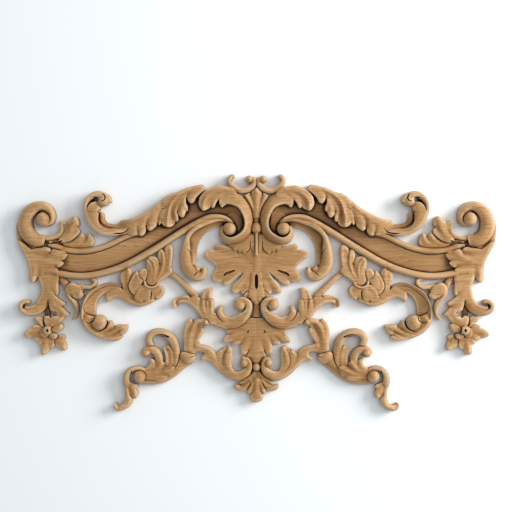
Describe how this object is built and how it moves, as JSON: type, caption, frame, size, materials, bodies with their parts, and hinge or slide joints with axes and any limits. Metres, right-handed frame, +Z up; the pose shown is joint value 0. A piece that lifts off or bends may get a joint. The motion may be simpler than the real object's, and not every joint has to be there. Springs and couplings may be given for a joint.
{
  "type": "furniture pediment",
  "caption": "Carved oak pediment for furniture: a symmetric openwork of moulded arms, volutes, scrolls and leaves with a flat back for fixing to a cornice, headboard or mirror.",
  "frame": {"origin": "on the flat back, at the middle of the width and about half way up, behind the lower lobe of the central palmette", "axes": "+X along the width, +Z up, the carved face looks along -Y and the flat back along +Y"},
  "size_m": [0.8002, 0.0359, 0.3942],
  "materials": {
    "oak": "bare or waxed oak, satin, with the grain along the width"
  },
  "bodies": {
    "root": {"pediment": "oak"}
  },
  "joints": []
}
